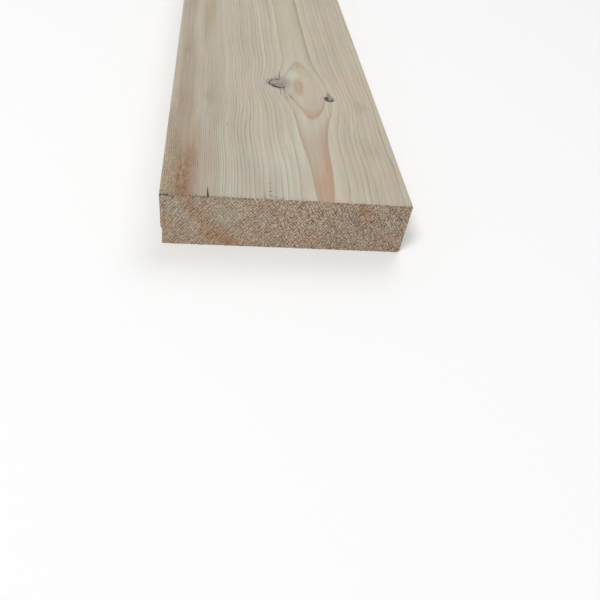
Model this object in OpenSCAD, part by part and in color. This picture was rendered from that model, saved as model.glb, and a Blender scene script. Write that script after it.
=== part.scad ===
// Planed softwood plank: one sawn and planed board of constant section,
// its four long arrises lightly eased and both ends cut square.
//
// Frame: X across the width, Y along the grain, Z through the thickness.
// The origin is the middle of the underside, so the board lies flat on Z = 0.
// All sizes are in millimetres.

/* [Board] */
// Width across the grain, after planing
board_w = 145; // [70:1:290]
// Thickness, after planing
board_t = 35; // [16:1:75]
// Length along the grain, as the stock is sold
board_l = 2000; // [300:10:6000]

/* [Eased arrises] */
// Radius on the two upper long edges, which were left crisp
arris_top_r = 0.8; // [0.2:0.1:5]
// Radius on the lower left long edge
arris_bottom_left_r = 0.8; // [0.2:0.1:5]
// Radius on the lower right long edge, the softest of the four
arris_bottom_right_r = 2.2; // [0.2:0.1:5]

/* [Hidden] */
// Sides of a full circle in the eased arrises
$fn = 64;
// How far a cut runs past the faces it takes away
over = 1;

// What easing takes off one corner of the section. The corner sits at the
// origin, and the board lies on its +x, +y side.
module arris_waste(r) {
    difference() {
        translate([-over, -over]) square(r + over);
        translate([r, r]) circle(r);
    }
}

// The planed section, lying on the x axis and centred on it.
module section() {
    difference() {
        translate([-board_w / 2, 0]) square([board_w, board_t]);
        translate([-board_w / 2, 0])
            arris_waste(arris_bottom_left_r);
        translate([board_w / 2, 0])
            mirror([1, 0]) arris_waste(arris_bottom_right_r);
        translate([-board_w / 2, board_t])
            mirror([0, 1]) arris_waste(arris_top_r);
        translate([board_w / 2, board_t])
            mirror([1, 0]) mirror([0, 1]) arris_waste(arris_top_r);
    }
}

// The board: its section run along the grain and cut square at both ends.
module plank() {
    color([0.73, 0.69, 0.61])
        rotate([90, 0, 0])
            linear_extrude(height = board_l, center = true)
                section();
}

plank();
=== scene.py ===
"""Planed softwood plank: a flat-sawn board with knots, growth rings and a rough-sawn end.

All shape work is done in millimetres in the board's own measure:
  X from the left long edge (0) to the right one (145),
  Y from the near end (0) to the far end (2000),
  D down from the upper face (0) to the underside (35).
The finished mesh is in metres, in the row frame.
"""

import math

import bpy
import numpy as np
from mathutils import Matrix


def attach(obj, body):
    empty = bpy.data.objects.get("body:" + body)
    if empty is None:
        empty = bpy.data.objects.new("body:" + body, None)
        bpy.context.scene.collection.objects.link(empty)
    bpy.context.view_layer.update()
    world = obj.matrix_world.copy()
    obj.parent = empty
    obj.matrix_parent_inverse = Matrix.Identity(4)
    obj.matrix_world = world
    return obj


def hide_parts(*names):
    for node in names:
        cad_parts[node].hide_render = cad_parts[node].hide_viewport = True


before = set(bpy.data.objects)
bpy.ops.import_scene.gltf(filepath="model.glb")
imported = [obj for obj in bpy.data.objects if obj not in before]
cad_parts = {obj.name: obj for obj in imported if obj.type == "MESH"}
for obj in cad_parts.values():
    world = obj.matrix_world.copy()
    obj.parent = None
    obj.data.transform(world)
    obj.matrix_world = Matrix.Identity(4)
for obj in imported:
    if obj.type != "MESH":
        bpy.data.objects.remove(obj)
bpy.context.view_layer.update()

W, T, L = 145.0, 35.0, 2000.0
R_TOP, R_BOTTOM_LEFT, R_BOTTOM_RIGHT = 0.8, 0.8, 2.2


# ---------------------------------------------------------------- small helpers


def smooth(a, b, x):
    t = np.clip((x - a) / (b - a), 0.0, 1.0)
    return t * t * (3.0 - 2.0 * t)


def lattice(ix, iy, iz, seed):
    """A fixed pseudo-random number from 0 to 1 for each lattice point."""
    h = (
        ix.astype(np.uint32) * np.uint32(374761393)
        + iy.astype(np.uint32) * np.uint32(668265263)
        + iz.astype(np.uint32) * np.uint32(2246822519)
        + np.uint32((seed * 3266489917 + 97) & 0xFFFFFFFF)
    )
    h ^= h >> np.uint32(15)
    h *= np.uint32(2246822519)
    h ^= h >> np.uint32(13)
    h *= np.uint32(3266489917)
    h ^= h >> np.uint32(16)
    return h.astype(np.float64) / 4294967295.0


def noise(x, y, z, seed=0):
    """Smooth value noise from -1 to 1, one cell per unit."""
    x, y, z = np.broadcast_arrays(
        np.asarray(x, float), np.asarray(y, float), np.asarray(z, float)
    )
    fx, fy, fz = np.floor(x), np.floor(y), np.floor(z)
    ix, iy, iz = fx.astype(np.int64), fy.astype(np.int64), fz.astype(np.int64)
    ux, uy, uz = x - fx, y - fy, z - fz
    ux = ux * ux * ux * (ux * (ux * 6 - 15) + 10)
    uy = uy * uy * uy * (uy * (uy * 6 - 15) + 10)
    uz = uz * uz * uz * (uz * (uz * 6 - 15) + 10)
    out = 0.0
    for i in (0, 1):
        for j in (0, 1):
            for k in (0, 1):
                w = (
                    (ux if i else 1 - ux)
                    * (uy if j else 1 - uy)
                    * (uz if k else 1 - uz)
                )
                out = out + w * lattice(ix + i, iy + j, iz + k, seed)
    return out * 2.0 - 1.0


def spline(xs, ys):
    """Natural cubic spline through a few points, as a function."""
    xs, ys = np.asarray(xs, float), np.asarray(ys, float)
    n, h = len(xs), np.diff(xs)
    a, b = np.zeros((n, n)), np.zeros(n)
    a[0, 0] = a[-1, -1] = 1.0
    for i in range(1, n - 1):
        a[i, i - 1], a[i, i], a[i, i + 1] = h[i - 1], 2 * (h[i - 1] + h[i]), h[i]
        b[i] = 6 * ((ys[i + 1] - ys[i]) / h[i] - (ys[i] - ys[i - 1]) / h[i - 1])
    m = np.linalg.solve(a, b)

    def f(x):
        x = np.asarray(x, float)
        i = np.clip(np.searchsorted(xs, x) - 1, 0, n - 2)
        l, r, hh = x - xs[i], xs[i + 1] - x, h[i]
        return (
            m[i] * r**3 / (6 * hh)
            + m[i + 1] * l**3 / (6 * hh)
            + (ys[i] / hh - m[i] * hh / 6) * r
            + (ys[i + 1] / hh - m[i + 1] * hh / 6) * l
        )

    return f


# ---------------------------------------------------------------- the tree inside the board
#
# The board was sawn flat, a little to one side of the tree's middle. The pith runs about
# 50 mm above the upper face, so the rings hang like a bowl on the end and the upper face
# shows long flames. Branches run out from the pith and down through the board.

PITH_Y = [
    -40,
    0,
    40,
    80,
    110,
    140,
    170,
    200,
    250,
    310,
    430,
    560,
    700,
    850,
    1000,
    1200,
    1400,
    1600,
    1800,
    2040,
]
PITH_X = [
    91.6,
    93.1,
    93.9,
    92.7,
    94.4,
    93.3,
    93.7,
    91.9,
    90.8,
    90.2,
    88.0,
    88.4,
    90.2,
    91.6,
    90.0,
    87.0,
    85.6,
    87.6,
    91.0,
    93.0,
]
PITH_H = [
    50.2,
    49.8,
    49.6,
    49.7,
    50.25,
    50.0,
    49.95,
    49.15,
    48.9,
    48.87,
    49.4,
    50.0,
    49.3,
    48.3,
    47.9,
    48.4,
    47.3,
    46.6,
    46.2,
    45.3,
]
pith_x, pith_h = spline(PITH_Y, PITH_X), spline(PITH_Y, PITH_H)

# angle from straight down (degrees, + towards the right edge), Y on the upper face,
# radius at 53 mm from the pith, swelling of the rings round it, lean along the grain, kind
# (0 is a sound knot with a grey core, 1 is a small black one)
KNOTS = [
    (-20.2, 143.0, 6.6, 3.2, 0.10, 0.0),
    (18.1, 124.2, 3.3, 2.3, 0.14, 1.0),
    (41.0, 547.0, 5.6, 2.6, 0.22, 0.0),
    (-44.0, 571.0, 6.8, 2.8, 0.18, 0.0),
    (4.0, 590.0, 2.6, 1.6, 0.15, 1.0),
    (-8.0, 968.0, 7.4, 3.0, 0.20, 0.0),
    (33.0, 991.0, 4.2, 2.2, 0.18, 1.0),
    (-52.0, 984.0, 6.2, 2.4, 0.22, 0.0),
    (24.0, 1392.0, 6.6, 2.9, 0.16, 0.0),
    (-31.0, 1417.0, 4.4, 2.3, 0.20, 0.0),
    (-57.0, 1379.0, 3.0, 1.6, 0.20, 1.0),
    (-14.0, 1811.0, 5.4, 2.8, 0.18, 0.0),
    (38.0, 1836.0, 7.0, 2.8, 0.20, 0.0),
    (-46.0, 1846.0, 3.6, 2.0, 0.22, 1.0),
]
GRAIN_AROUND = 1.85  # how far the bent grain runs past a knot, along against across


def tree(x, y, d):
    """What the tree has at each point: ring radius in mm, and where the nearest knot is.
    A knot's own measure has its edge at radius 1."""
    px, ph = pith_x(y), pith_h(y)
    vx, vd = x - px, d + ph
    r = np.hypot(vx, vd)
    phi = np.arctan2(vx, vd)
    dip = np.zeros_like(r)
    sx, sd = np.zeros_like(r), np.zeros_like(r)
    best = np.full_like(r, 1e9)
    kx, ky, kind = (
        np.full_like(r, 9.0),
        np.full_like(r, 9.0),
        np.zeros_like(r),
    )
    for angle, y_face, radius, swell, lean, dark in KNOTS:
        th = math.radians(angle)
        s_face = float(pith_h(y_face)) / math.cos(th)
        along = r * np.cos(phi - th)
        across = r * np.sin(phi - th)
        dy = y - (y_face + lean * (along - s_face))
        out = np.clip(along, 1.0, None)
        here = smooth(0.0, 12.0, along)
        rad = radius * (out / 53.0) ** 0.65
        dip += (
            here
            * swell
            * np.clip(out / 50.0, 0, 1.25)
            * np.exp(-(across**2) / (2 * 16.0**2) - dy**2 / (2 * 28.0**2))
        )
        flow = 0.8 * rad
        push = (
            -across
            * here
            * np.minimum(
                1.0, flow**2 / np.maximum(across**2 + (dy / GRAIN_AROUND) ** 2, 1e-9)
            )
        )
        sx += push * math.cos(th)
        sd -= push * math.sin(th)
        u, v = across / rad, dy / (1.12 * rad)
        rho = np.hypot(u, v) + 9.0 * (1 - here)
        near = rho < best
        best = np.where(near, rho, best)
        kx, ky, kind = (
            np.where(near, u, kx),
            np.where(near, v, ky),
            np.where(near, dark, kind),
        )
    vx, vd = vx + sx, vd + sd
    vx = np.where(vx > 0, vx * (1 - 0.0030 * np.minimum(vx, 90.0)), vx)
    f = np.hypot(vx, vd) - dip
    return f, kx, ky, kind, best


def ring_edges():
    """Radii at which each year's growth ends: wide rings inside, fine ones outside."""
    edges = [38.6, 40.5, 42.2, 43.6, 45.0, 46.3, 48.65, 50.0]
    edges += [51.7, 53.05, 54.45, 55.8, 57.4, 59.2, 61.0, 62.7]
    n = len(edges)
    while edges[-1] < 132.0:
        r = edges[-1]
        mean = 0.98 + 0.72 * (1 - float(smooth(60.0, 82.0, np.float64(r))))
        one = np.array([n])
        jitter = float(lattice(one, one * 0, one * 0, 11)[0])
        edges.append(r + mean * (0.78 + 0.44 * jitter))
        n += 1
    return np.array(edges)


EDGES = ring_edges()
MAIN_RING = 7.0  # the ring whose flame shows on the upper face near the end


def age_of(f):
    """Counts rings outwards; a whole number is the end of a year's growth."""
    return np.interp(f, EDGES, np.arange(len(EDGES), dtype=float))


# ---------------------------------------------------------------- the mesh


def corner(x, z):
    """Bends the square corners of the section into its eased arrises."""
    x, z = np.array(x, float), np.array(z, float)
    for right, top, r in (
        (False, False, R_BOTTOM_LEFT),
        (True, False, R_BOTTOM_RIGHT),
        (False, True, R_TOP),
        (True, True, R_TOP),
    ):
        cx = W - r if right else r
        cz = T - r if top else r
        gx, gz = (1 if right else -1), (1 if top else -1)
        u, v = (x - cx) * gx / r, (z - cz) * gz / r
        m = (u > 0) & (v > 0)
        uu, vv = u[m], v[m]
        x[m] = cx + gx * r * uu * np.sqrt(1 - vv * vv / 2)
        z[m] = cz + gz * r * vv * np.sqrt(1 - uu * uu / 2)
    return x, z


def steps(stops, ends=(0.0, 0.0)):
    """Points from stop to stop at about the given spacing: [(start, spacing), ..., (end,)]."""
    out = []
    for (a, *s), (b, *_) in zip(stops[:-1], stops[1:]):
        n = max(1, round((b - a) / s[0]))
        out += list(a + (b - a) * np.arange(n) / n)
    return np.array(out + [stops[-1][0]])


def loop(bottom, right, top, left):
    """Points once round the section from the lower left corner, and how far round each is.
    bottom and top are X positions, left and right are heights, all rising."""
    xs = np.concatenate(
        [bottom[:-1], np.full(len(right) - 1, W), top[:0:-1], np.zeros(len(left) - 1)]
    )
    zs = np.concatenate(
        [np.zeros(len(bottom) - 1), right[:-1], np.full(len(top) - 1, T), left[:0:-1]]
    )
    far = np.concatenate(
        [
            bottom[:-1],
            W + right[:-1],
            W + T + (W - top[:0:-1]),
            W + T + W + (T - left[:0:-1]),
        ]
    )
    x, z = corner(xs, zs)
    return x, z, far


near_x = steps(
    [
        (0.0, 0.2),
        (0.8, 0.42),
        (24.9, 0.26),
        (28.2, 0.46),
        (142.8, 0.36),
        (144.2, 0.2),
        (W,),
    ]
)
near_z = steps([(0.0, 0.22), (0.9, 0.42), (2.4, 0.43), (34.2, 0.2), (T,)])
far_x = steps([(0.0, 0.25), (1.0, 1.05), (142.8, 0.45), (144.2, 0.27), (W,)])
far_z = steps([(0.0, 0.25), (1.0, 0.6), (2.4, 0.9), (34.2, 0.27), (T,)])
mid_t = steps(
    [
        (0.0, 0.27),
        (0.8, 0.8),
        (4.0, 1.6),
        (22.0, 1.3),
        (30.0, 1.9),
        (62.0, 1.15),
        (118.0, 1.8),
        (143.0, 0.6),
        (144.2, 0.27),
        (W,),
    ]
)
mid_b = steps([(0.0, 0.4), (0.8, 4.2), (50.0, 1.9), (128.0, 4.2), (142.8, 0.44), (W,)])
mid_l = steps([(0.0, 0.4), (0.8, 2.6), (34.2, 0.27), (T,)])
mid_r = steps([(0.0, 0.44), (2.2, 2.6), (34.2, 0.27), (T,)])
long_t = steps([(0.0, 0.4), (0.8, 2.6), (144.2, 0.4), (W,)])
long_b = steps([(0.0, 0.4), (0.8, 3.6), (142.8, 0.55), (W,)])
long_l = steps([(0.0, 0.4), (0.8, 3.4), (34.2, 0.4), (T,)])
long_r = steps([(0.0, 0.55), (2.2, 3.4), (34.2, 0.4), (T,)])

near_rows = [0.3, 0.7, 1.2, 1.9, 2.8, 3.9, 5.2, 6.8, 8.6, 10.6]
mid_rows = steps([(12.6, 2.2), (106.0, 1.3), (168.0, 2.9), (345.0,)])
whorls = [(535.0, 605.0), (955.0, 1005.0), (1366.0, 1430.0), (1798.0, 1860.0)]
long_stops, at = [], 355.0
for a, b in whorls:
    long_stops += [(at, 17.0), (a, 3.4)]
    at = b
long_rows = steps(long_stops + [(at, 15.0), (1987.0,)])
far_rows = [1990.6, 1993.4, 1995.6, 1997.2, 1998.4, 1999.2, 1999.65]

verts_x, verts_y, verts_z, verts_far = [], [], [], []
is_end = []  # 1 on the sawn ends
faces, face_uv_kind = [], []
count = 0


def add(x, y, z, far, end):
    global count
    n = len(x)
    verts_x.append(np.asarray(x, float))
    verts_y.append(np.broadcast_to(np.asarray(y, float), (n,)).copy())
    verts_z.append(np.asarray(z, float))
    verts_far.append(np.asarray(far, float))
    is_end.append(np.full(n, float(end)))
    start = count
    count += n
    return np.arange(start, start + n)


def cap(xs, zs, y, flip):
    """A grid over a sawn end. Returns its rim, in the order of loop()."""
    nx, nz = len(xs), len(zs)
    gx, gz = np.meshgrid(xs, zs)
    x, z = corner(gx.ravel(), gz.ravel())
    ids = add(x, y, z, np.zeros(nx * nz), 1.0).reshape(nz, nx)
    a, b, c, d = ids[:-1, :-1], ids[:-1, 1:], ids[1:, 1:], ids[1:, :-1]
    quads = np.stack([a, b, c, d] if not flip else [a, d, c, b], -1).reshape(-1, 4)
    faces.extend(map(tuple, quads.tolist()))
    face_uv_kind.extend([2 if flip else 1] * len(quads))
    return np.concatenate([ids[0, :-1], ids[:-1, -1], ids[-1, :0:-1], ids[:0:-1, 0]])


def strip(p, q):
    """Quads between two loops of as many points."""
    p2, q2 = np.roll(p, -1), np.roll(q, -1)
    quads = np.stack([p, q, q2, p2], -1)
    faces.extend(map(tuple, quads.tolist()))
    face_uv_kind.extend([0] * len(quads))


def zip_up(p, pf, q, qf):
    """Triangles between two loops with different numbers of points."""
    girth = 2 * (W + T)
    i = j = 0
    while i < len(p) or j < len(q):
        pn = pf[i + 1] if i + 1 < len(p) else girth
        qn = qf[j + 1] if j + 1 < len(q) else girth
        a, b = p[i % len(p)], q[j % len(q)]
        if j >= len(q) or (i < len(p) and pn <= qn):
            faces.append((a, b, p[(i + 1) % len(p)]))
            i += 1
        else:
            faces.append((a, b, q[(j + 1) % len(q)]))
            j += 1
        face_uv_kind.append(0)


nx_, nz_, nfar = loop(near_x, near_z, near_x, near_z)
near_rim = rim = cap(near_x, near_z, 0.0, False)
for yy in near_rows:
    ids = add(nx_, yy, nz_, nfar, 0.0)
    strip(rim, ids)
    rim = ids
mx_, mz_, mfar = loop(mid_b, mid_r, mid_t, mid_l)
ids = add(mx_, mid_rows[0], mz_, mfar, 0.0)
zip_up(rim, nfar, ids, mfar)
rim = ids
for yy in mid_rows[1:]:
    ids = add(mx_, yy, mz_, mfar, 0.0)
    strip(rim, ids)
    rim = ids
lx_, lz_, lfar = loop(long_b, long_r, long_t, long_l)
ids = add(lx_, long_rows[0], lz_, lfar, 0.0)
zip_up(rim, mfar, ids, lfar)
rim = ids
for yy in long_rows[1:]:
    ids = add(lx_, yy, lz_, lfar, 0.0)
    strip(rim, ids)
    rim = ids
fx_, fz_, ffar = loop(far_x, far_z, far_x, far_z)
ids = add(fx_, far_rows[0], fz_, ffar, 0.0)
zip_up(rim, lfar, ids, ffar)
rim = ids
for yy in far_rows[1:]:
    ids = add(fx_, yy, fz_, ffar, 0.0)
    strip(rim, ids)
    rim = ids
far_rim = cap(far_x, far_z, L, True)
strip(rim, far_rim)

X, Y, Z = (np.concatenate(v) for v in (verts_x, verts_y, verts_z))
FAR, END = np.concatenate(verts_far), np.concatenate(is_end)
FAR[near_rim], FAR[far_rim] = nfar, ffar
D = T - Z
X0, Y0, Z0 = X.copy(), Y.copy(), Z.copy()
near_end = (END > 0.5) & (Y < 1.0)
far_end = (END > 0.5) & (Y > L - 1.0)
edge_gap = np.minimum.reduce([X, W - X, Z, T - Z])  # how far in from the section's edge

# --- relief ---------------------------------------------------------------
RING_F, KX, KY, KIND, KNEAR = tree(X, Y, D)
AGE = age_of(RING_F)
late = smooth(0.55, 0.95, AGE - np.floor(AGE))


def sawn(x, z, seed, slope):
    """How far the rough of a sawn end stands out, in mm: torn fibre, saw strokes and pits."""
    ca, sa = math.cos(slope), math.sin(slope)
    run, across = x * ca + z * sa, -x * sa + z * ca
    crumbs = noise(x / 0.21, z / 0.21, 0.5, seed)
    fibre = noise(x / 0.85, z / 0.85, 3.5, seed + 1)
    strokes = noise(run / 6.0, across / 0.80, 7.5, seed + 2)
    chatter = noise(run / 30.0, across / 4.5, 9.5, seed + 3)
    pits = smooth(0.30, 0.75, noise(x / 0.40, z / 0.40, 12.5, seed + 4))
    return 0.08 * crumbs + 0.015 * fibre + 0.05 * strokes + 0.03 * chatter - 0.05 * pits


# the near end leans by 0.7 mm from top to bottom; the saw left both ends rough
# TUFT keeps the height of the rough for the shader, which paints light on the high tufts and shade in the hollows
TUFT = np.zeros_like(X)
m = near_end
rough = sawn(X[m], Z[m], 3, math.radians(54)) + 0.10 * (late[m] - 0.4)
TUFT[m] = rough
lip = 0.16 * smooth(0.9, 0.0, edge_gap[m]) * (
    0.6 + noise(X[m] / 0.9, Z[m] / 0.9, 2.2, 21)
)
Y[m] = 0.34 + 0.7 * (Z[m] / T) - rough + lip
m = far_end
rough = sawn(X[m], Z[m], 40, math.radians(118)) + 0.10 * (late[m] - 0.4)
TUFT[m] = rough
Y[m] = L - 0.34 - 0.4 * (X[m] / W) + rough
# the rows next to an end follow its lean, and its ragged rim
m = (END < 0.5) & (Y < 12.0)
fade = 1 - Y0[m] / 12.0
Y[m] += fade * (0.34 + 0.7 * Z[m] / T)
m = (END < 0.5) & (Y > L - 10.0)
Y[m] -= (1 - (L - Y0[m]) / 10.0) * (0.34 + 0.4 * X[m] / W)

on_top = (Z0 > T - 0.4) & (END < 0.5)
top_like = smooth(T - 1.0, T - 0.2, Z0) * (END < 0.5)

# torn fibres along the upper front edge
frill = smooth(2.4, 0.0, Y0) * (END < 0.5)
Z += np.where(
    (Z0 > T - 1.2),
    frill * (0.16 * noise(X0 / 0.75, Y0 / 1.4, 0.3, 31) - 0.10),
    0.0,
)
m = near_end & (Z0 > T - 0.35)
Z[m] += 0.20 * noise(X0[m] / 0.75, 0.0, 0.3, 31) - 0.14
Y[m] += 0.25 * noise(X0[m] / 0.6, 1.7, 0.9, 32)

# chips that the saw broke out of that edge
broken = 0.75 * noise(X0 / 1.0, 0.0, 0.0, 33) + 0.45 * noise(X0 / 3.4, 0.0, 0.0, 34)
broken = 2.0 * smooth(0.02, 0.95, broken)
CHIP = top_like * smooth(1.0, 0.3, Y0 / np.maximum(broken, 0.05)) * smooth(0.1, 0.4, broken)
Z -= 0.40 * CHIP
m = near_end & (Z0 > T - 0.35)
Z[m] -= 0.36 * smooth(0.1, 0.9, broken[m])

# rough, torn grain on the left of the upper face near the end
torn = (
    smooth(22.0, 8.0, X0 + 3 * noise(X0 / 9, Y0 / 16, 0.0, 51))
    * smooth(88.0, 40.0, Y0 + 9 * noise(X0 / 7, Y0 / 12, 4.0, 52))
    * top_like
)
Z -= torn * (
    0.10
    + 0.09 * noise(X0 / 1.7, Y0 / 4.0, 1.0, 53)
    + 0.08 * np.abs(noise(X0 / 3.1, Y0 / 7.0, 2.0, 54))
)

# the drying check that runs in from the end
check_x = 26.5 - 0.05 * Y0 + 0.10 * noise(0.0, Y0 / 2.2, 0.0, 61)
half = 0.62 * np.clip(1 - Y0 / 10.5, 0, 1) ** 0.7
open_here = np.clip(1 - np.abs(X0 - check_x) / np.maximum(half, 1e-3), 0, 1)
top_check = np.minimum(1.0, 1.8 * open_here) * top_like * (Y0 < 10.5)
Z -= 1.8 * np.clip(1 - Y0 / 10.5, 0, 1) * top_check
half_e = 0.60 * np.clip(1 - D / 2.0, 0, 1) ** 0.8
end_check = np.where(
    near_end & (D < 2.0),
    np.clip(1 - np.abs(X0 - 26.5 - 0.10 * D) / np.maximum(half_e, 1e-3), 0, 1),
    0.0,
)
Y += 1.8 * np.minimum(1.0, 1.5 * end_check) * np.clip(1 - D / 2.0, 0, 1)

# a chip out of the left edge of the end, with the edge worn in below it
left = smooth(2.6, 0.0, X0) * smooth(7.0, 0.0, Y0)
notch = np.exp(-(((Z0 - 10.2) / 1.25) ** 2))
X += left * (1.05 * notch + 0.62 * smooth(10.2, 8.4, Z0) * smooth(-0.5, 2.0, Z0))
X += left * 0.10 * noise(Z0 / 1.3, Y0 / 2.0, 0.0, 71)

# knots: a dished core and an open rim
rho = np.hypot(KX, KY)
rho_n = rho + 0.10 * noise(X0 / 2.2, Y0 / 2.2, Z0 / 2.2, 81)
rim_open = np.exp(-(((rho_n - 0.96) / 0.16) ** 2)) * (
    0.35 + 0.65 * smooth(-0.4, 0.8, (-0.62 * KX - 0.78 * KY) / np.maximum(rho, 0.2))
)
dish = 0.10 * smooth(1.0, 0.5, rho) + 0.30 * rim_open
swollen = 0.05 * smooth(2.2, 1.0, rho) * smooth(0.8, 1.05, rho)
side = END < 0.5
up = side & (Z0 > T - 0.4)
Z[up] += (swollen - dish)[up]
down = side & (Z0 < 0.4)
Z[down] += dish[down]
rightward = side & (X0 > W - 0.4) & (Z0 > 1.0) & (Z0 < T - 0.5)
X[rightward] -= dish[rightward]
leftward = side & (X0 < 0.4) & (Z0 > 0.5) & (Z0 < T - 0.5)
X[leftward] += dish[leftward]

# the planed faces are not dead flat: long, shallow waves
wave = 0.045 * noise(X0 / 38, Y0 / 160, 0.0, 91) + 0.02 * noise(
    X0 / 9, Y0 / 60, 0.0, 92
)
Z[up] -= 0.05 - wave[up]
Z = np.clip(Z, 0.0, T)
X = np.clip(X, 0.0, W)
Y = np.clip(Y, 0.0, L)

co = np.stack([(X - W / 2) / 1000, Y / 1000 - L / 2000, Z / 1000], -1)
mesh = bpy.data.meshes.new("board")
mesh.from_pydata(co.tolist(), [], faces)
mesh.update()
mesh.shade_smooth()
mesh.polygons.foreach_set("use_smooth", np.array(face_uv_kind) == 0)
board = bpy.data.objects.new("board", mesh)
bpy.context.scene.collection.objects.link(board)


def attribute(name, values):
    made = mesh.attributes.new(name, "FLOAT", "POINT")
    made.data.foreach_set("value", np.asarray(values, np.float32))


attribute("age", AGE)
attribute("ringr", RING_F)
attribute("knotx", np.clip(KX, -9, 9))
attribute("knoty", np.clip(KY, -9, 9))
attribute("knotk", KIND)
attribute("knotr", np.clip(KNEAR, 0, 9))
attribute("sawn", END)
# the drying check's shape, for painted shade inside it
attribute("check_shade", np.maximum(top_check, end_check))
attribute("torn", torn)
# the rough's height, for painted light on the tufts and painted shade in the hollows
attribute("tuft_light_shade", TUFT)
attribute("chip", CHIP)
# the lower end of the main flame is rosy all through, first on its right
reach = 25.0 + 36.0 * smooth(94.2, 99.5, X0)
attribute("rosy", smooth(reach + 9.0, reach - 9.0, Y0 + 3 * noise(X0 / 2.0, Y0 / 9.0, 0.0, 95)))


def oval(x, y, rx, ry, v, ragged, soft, seed, tilt=0.0):
    """A soft oval patch at (x, y) turned by the tilt; v is Y on the faces or D on the ends."""
    c, s = math.cos(math.radians(tilt)), math.sin(math.radians(tilt))
    a, b = X0 - x, v - y
    r = np.hypot((a * c + b * s) / rx, (b * c - a * s) / ry)
    r = r + ragged * noise(X0 / (0.6 * rx), v / (0.6 * ry), 0.0, seed)
    return smooth(1.0, 1.0 - soft, r)


TINT = np.ones((count, 3))


def stain_with(tint, amount):
    global TINT
    TINT = TINT * (1.0 + amount[:, None] * (np.array(tint) - 1.0))


# large soft patches on the upper face: where it was handled, dried or dressed unevenly
on_upper = smooth(1.4, 0.5, D) * (END < 0.5)
for i, (x, y, rx, ry, tint) in enumerate(
    (
        (86.0, 157.5, 6.5, 12.0, (1.12, 1.17, 1.23)),
        (72.0, 36.0, 14.0, 54.0, (1.07, 1.12, 1.16)),
        (83.0, 60.0, 4.5, 42.0, (1.05, 1.08, 1.12)),
        (40.0, 28.0, 14.0, 50.0, (0.99, 1.03, 1.04)),
        (52.0, 18.0, 12.0, 30.0, (0.93, 0.95, 0.95)),
        (22.5, 26.0, 8.0, 64.0, (0.885, 0.845, 0.865)),
        (25.0, 115.0, 6.5, 13.0, (0.89, 0.905, 0.91)),
        (33.0, 82.0, 5.5, 15.0, (0.94, 0.955, 0.955)),
        (18.5, 150.0, 6.0, 30.0, (0.93, 0.92, 0.89)),
        (118.0, 206.0, 12.0, 14.0, (0.98, 0.99, 0.98)),
        (131.0, 147.0, 19.0, 26.0, (1.055, 1.000, 0.980)),
        (132.0, 116.0, 7.0, 12.0, (0.885, 0.87, 0.86)),
        (130.0, 62.0, 10.0, 18.0, (0.91, 0.905, 0.90)),
        (124.0, 60.0, 26.0, 80.0, (0.965, 0.970, 0.965)),
        (23.5, 264.0, 7.5, 66.0, (0.885, 0.86, 0.80)),
        (56.0, 230.0, 7.0, 75.0, (0.975, 0.955, 0.97)),
        (7.5, 186.0, 5.5, 13.0, (0.90, 0.92, 0.92)),
        (10.0, 100.0, 7.0, 50.0, (0.93, 0.90, 0.89)),
        (66.5, 262.0, 4.0, 80.0, (1.04, 1.06, 1.08)),
        (74.5, 296.0, 3.2, 46.0, (0.92, 0.90, 0.90)),
        (64.0, 12.0, 11.0, 34.0, (0.91, 0.925, 0.935)),
        (3.5, 119.0, 3.5, 14.0, (0.94, 0.92, 0.91)),
        (138.0, 20.0, 10.0, 40.0, (0.95, 0.94, 0.945)),
        (5.5, 67.0, 1.8, 7.0, (0.95, 0.91, 0.76)),
        (6.9, 55.0, 1.8, 8.0, (0.95, 0.90, 0.76)),
        (64.0, 2.4, 1.8, 2.6, (0.78, 0.82, 0.85)),
        (68.2, 1.6, 2.8, 2.2, (0.82, 0.86, 0.89)),
        (58.4, 4.8, 1.1, 2.4, (0.84, 0.85, 0.87)),
        (58.0, 1.8, 1.3, 2.2, (0.82, 0.82, 0.84)),
    )
):
    stain_with(tint, on_upper * oval(x, y, rx, ry, Y0, 0.22, 0.8, 200 + i))

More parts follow.
